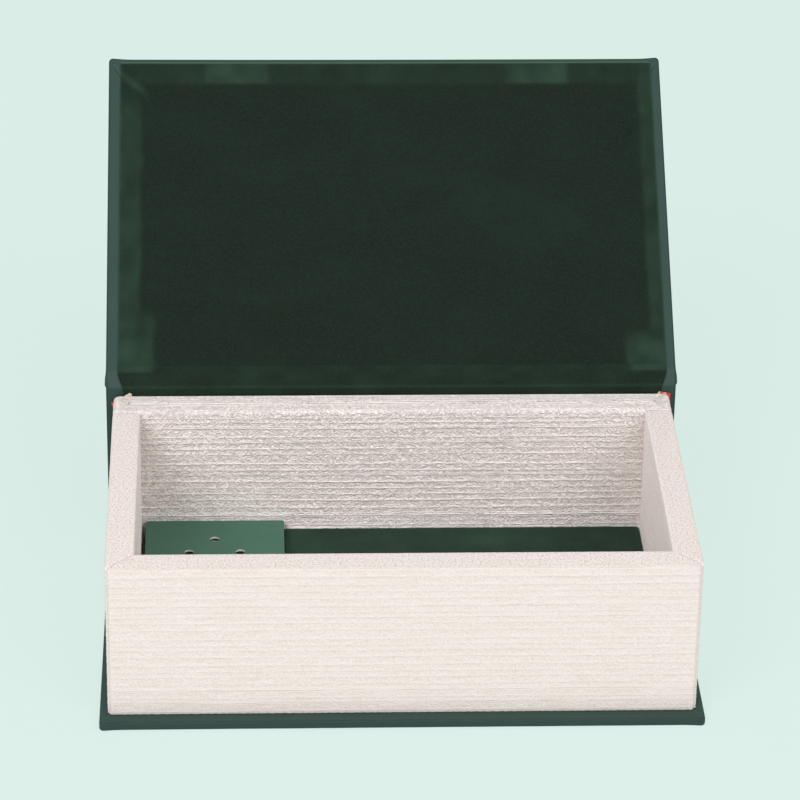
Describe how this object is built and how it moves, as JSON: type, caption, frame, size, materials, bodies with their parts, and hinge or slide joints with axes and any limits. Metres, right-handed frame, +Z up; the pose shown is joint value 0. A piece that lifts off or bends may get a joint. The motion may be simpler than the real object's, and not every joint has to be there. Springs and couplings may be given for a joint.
{
  "type": "book-shaped box",
  "caption": "Keepsake box shaped like a book: a tray dressed as a page block in a cloth-covered case whose front cover swings open on a cloth joint.",
  "frame": {"origin": "centre of the tray on the surface that the box stands on", "axes": "+X along the spine, to the right as seen from the fore-edge; +Y from the fore-edge to the spine; +Z up"},
  "size_m": [0.2264, 0.2569, 0.1618],
  "materials": {
    "leatherette": "smooth teal-green bookcloth with a soft sheen",
    "velvet": "dark green flocked velvet",
    "greyboard": "raw grey bookbinding board",
    "fibreboard": "raw fibreboard",
    "page_paper": "ribbed pearlescent cream paper, like the edges of pages",
    "green_card": "matte green card",
    "headband": "red, yellow and white striped silk",
    "foam": "grey foam sheet",
    "steel": "zinc plated",
    "magnet": "nickel grey",
    "speaker_paper": "black pressed paper",
    "circuit": "green solder mask",
    "black_plastic": "moulded",
    "cell_steel": "polished",
    "copper_wire": "enamelled copper"
  },
  "bodies": {
    "box": {"joint_cloth": "leatherette", "joint_lining": "velvet", "back_board": "greyboard", "spine_board": "greyboard", "case_wrap": "leatherette", "base_panel": "fibreboard", "front_wall": "fibreboard", "rear_wall": "fibreboard", "left_wall": "fibreboard", "right_wall": "fibreboard", "front_page_paper": "page_paper", "rear_page_paper": "page_paper", "left_page_paper": "page_paper", "right_page_paper": "page_paper", "closure_magnets": "magnet", "headband_left": "headband", "headband_right": "headband", "floor_foam": "foam", "floor_card": "greyboard", "floor_velvet": "velvet", "sound_box_cap": "green_card", "sound_box_bottom": "green_card", "speaker_basket": "steel", "speaker_cone": "speaker_paper", "speaker_magnet": "magnet", "circuit_board": "circuit", "battery_holder": "black_plastic", "button_cells": "cell_steel", "speaker_leads": "copper_wire"},
    "cover": {"front_board": "greyboard", "front_wrap": "leatherette", "front_lining": "velvet", "closure_plates": "steel"}
  },
  "joints": [
    {"name": "cover_hinge", "type": "hinge", "parent": "box", "child": "cover", "pos_m": [0, 0.07125, 0.07105], "axis": [1, 0, 0], "range_deg": [-67, 142], "deforming": ["joint_cloth", "joint_lining"]}
  ]
}
